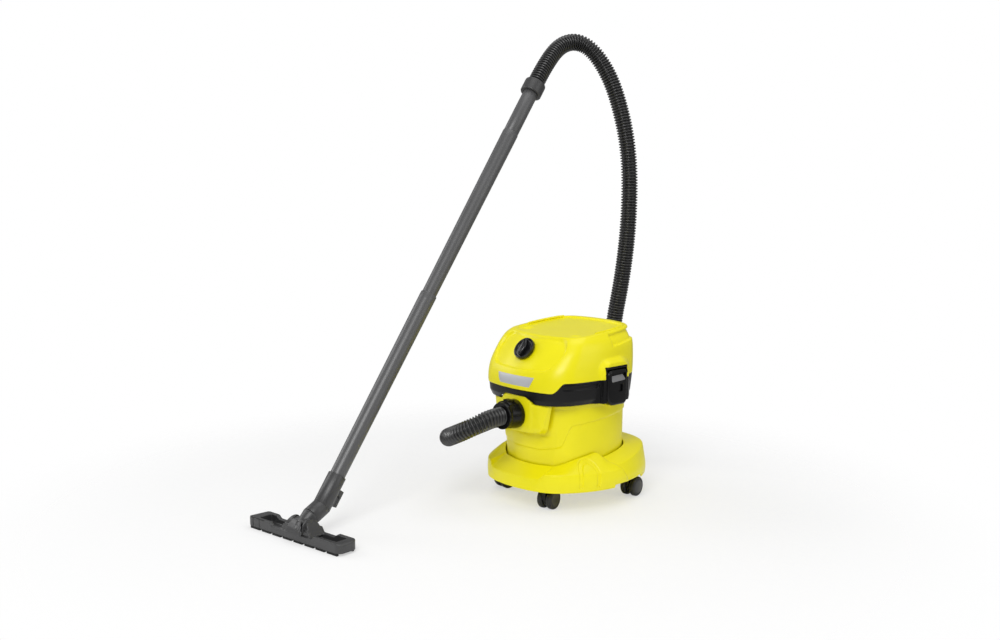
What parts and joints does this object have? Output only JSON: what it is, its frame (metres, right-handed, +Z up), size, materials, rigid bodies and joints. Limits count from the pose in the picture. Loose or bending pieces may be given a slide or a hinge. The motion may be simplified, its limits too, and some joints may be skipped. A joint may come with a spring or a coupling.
{
  "type": "canister vacuum cleaner",
  "caption": "Free-standing tub vacuum cleaner on casters with a latched motor head, ribbed hose, two-piece wand and floor nozzle.",
  "frame": {"origin": "on the floor, at the middle of the footprint of everything but the free hose", "axes": "+Z up, -Y towards the side with the hose port and the nozzle, +X towards the machine's right-hand latch as seen in the picture"},
  "size_m": [0.457, 1.068, 1.1158],
  "materials": {
    "yellow_plastic": "satin moulded plastic",
    "black_plastic": "fine-grained moulded plastic",
    "grey_plastic": "satin moulded plastic",
    "tube_plastic": "smooth moulded plastic",
    "hose_plastic": "ribbed flexible plastic",
    "badge": "brushed, blank",
    "steel": "bright",
    "aluminium": "pressed sheet",
    "laminations": "stacked sheet",
    "rubber": "matt",
    "wheel_rubber": "hard moulded plastic",
    "filter_paper": "pleated paper",
    "carbon": "pressed carbon"
  },
  "bodies": {
    "canister": {"chassis": "yellow_plastic", "container": "yellow_plastic", "inlet_elbow": "black_plastic", "hose_connector": "black_plastic", "suction_hose": "hose_plastic", "hose_cuff": "grey_plastic", "hand_piece": "tube_plastic", "upper_tube": "tube_plastic", "lower_tube": "tube_plastic", "nozzle_sleeve": "grey_plastic", "parking_hook": "grey_plastic", "nozzle_neck": "grey_plastic"},
    "head": {"head_shell": "yellow_plastic", "head_band": "black_plastic", "badge_plate": "badge", "switch_body": "black_plastic", "latch_pins": "steel", "cooling_grille": "black_plastic", "blower_port": "black_plastic", "cable_gland": "black_plastic", "motor_plate": "black_plastic", "head_screws": "steel", "rim_seal": "rubber", "float_cage": "black_plastic", "cartridge_filter": "filter_paper", "filter_cap": "black_plastic", "motor_mount_ring": "rubber", "fan_case": "aluminium", "lower_bearing": "steel", "upper_bearing": "steel", "stator": "laminations", "motor_bracket": "black_plastic", "carbon_brushes": "carbon"},
    "knob": {"switch_knob": "grey_plastic"},
    "right_latch": {"latch_right": "black_plastic"},
    "left_latch": {"latch_left": "black_plastic"},
    "motor": {"rotor": "laminations", "impeller": "aluminium", "cooling_fan": "black_plastic"},
    "float": {"float_ball": "grey_plastic"},
    "tab": {"release_tab": "black_plastic"},
    "nozzle": {"nozzle_body": "grey_plastic", "front_strip": "black_plastic", "rear_strip": "black_plastic", "pivot_pins": "steel"},
    "caster_front_left": {"caster_fork_front_left": "black_plastic", "caster_axle_front_left": "steel"},
    "wheels_front_left": {"caster_wheels_front_left": "wheel_rubber"},
    "caster_front_right": {"caster_fork_front_right": "black_plastic", "caster_axle_front_right": "steel"},
    "wheels_front_right": {"caster_wheels_front_right": "wheel_rubber"},
    "caster_rear_left": {"caster_fork_rear_left": "black_plastic", "caster_axle_rear_left": "steel"},
    "wheels_rear_left": {"caster_wheels_rear_left": "wheel_rubber"},
    "caster_rear_right": {"caster_fork_rear_right": "black_plastic", "caster_axle_rear_right": "steel"},
    "wheels_rear_right": {"caster_wheels_rear_right": "wheel_rubber"}
  },
  "joints": [
    {"name": "head_lift", "type": "slide", "parent": "canister", "child": "head", "axis": [0, 0, 1], "range_m": [0, 0.2]},
    {"name": "switch_turn", "type": "hinge", "parent": "head", "child": "knob", "pos_m": [0.06031, 0.12701, 0.367], "axis": [0, -0.788, 0.6157], "range_deg": [-90, 0]},
    {"name": "right_latch_swing", "type": "hinge", "parent": "head", "child": "right_latch", "pos_m": [0.21731, 0.2655, 0.319], "axis": [0, -1, 0], "range_deg": [0, 75]},
    {"name": "left_latch_swing", "type": "hinge", "parent": "head", "child": "left_latch", "pos_m": [-0.09669, 0.2655, 0.319], "axis": [0, 1, 0], "range_deg": [0, 75]},
    {"name": "motor_spin", "type": "hinge", "parent": "head", "child": "motor", "pos_m": [0.06031, 0.2615, 0.33], "axis": [0, 0, 1], "continuous": true},
    {"name": "float_rise", "type": "slide", "parent": "head", "child": "float", "axis": [0, 0, 1], "range_m": [0, 0.038]},
    {"name": "tab_press", "type": "slide", "parent": "canister", "child": "tab", "axis": [0, 0, -1], "range_m": [0, 0.0018], "stiffness_N_per_m": 600, "springref_m": -0.001},
    {"name": "nozzle_tilt", "type": "hinge", "parent": "canister", "child": "nozzle", "pos_m": [-0.06902, -0.40615, 0.033], "axis": [0.9941, 0.1089, 0], "range_deg": [-35, 12]},
    {"name": "swivel_front_left", "type": "hinge", "parent": "canister", "child": "caster_front_left", "pos_m": [-0.07539, 0.17061, 0.05], "axis": [0, 0, 1], "continuous": true},
    {"name": "roll_front_left", "type": "hinge", "parent": "caster_front_left", "child": "wheels_front_left", "pos_m": [-0.07372, 0.18652, 0.0235], "axis": [0.9945, -0.1045, 0], "continuous": true},
    {"name": "swivel_front_right", "type": "hinge", "parent": "canister", "child": "caster_front_right", "pos_m": [0.12761, 0.12581, 0.05], "axis": [0, 0, 1], "continuous": true},
    {"name": "roll_front_right", "type": "hinge", "parent": "caster_front_right", "child": "wheels_front_right", "pos_m": [0.12428, 0.14145, 0.0235], "axis": [0.9781, 0.2079, 0], "continuous": true},
    {"name": "swivel_rear_left", "type": "hinge", "parent": "canister", "child": "caster_rear_left", "pos_m": [-0.06299, 0.3502, 0.05], "axis": [0, 0, 1], "continuous": true},
    {"name": "roll_rear_left", "type": "hinge", "parent": "caster_rear_left", "child": "wheels_rear_left", "pos_m": [-0.06438, 0.36614, 0.0235], "axis": [0.9962, 0.0872, 0], "continuous": true},
    {"name": "swivel_rear_right", "type": "hinge", "parent": "canister", "child": "caster_rear_right", "pos_m": [0.18361, 0.3502, 0.05], "axis": [0, 0, 1], "continuous": true},
    {"name": "roll_rear_right", "type": "hinge", "parent": "caster_rear_right", "child": "wheels_rear_right", "pos_m": [0.18083, 0.36596, 0.0235], "axis": [0.9848, 0.1736, 0], "continuous": true}
  ]
}
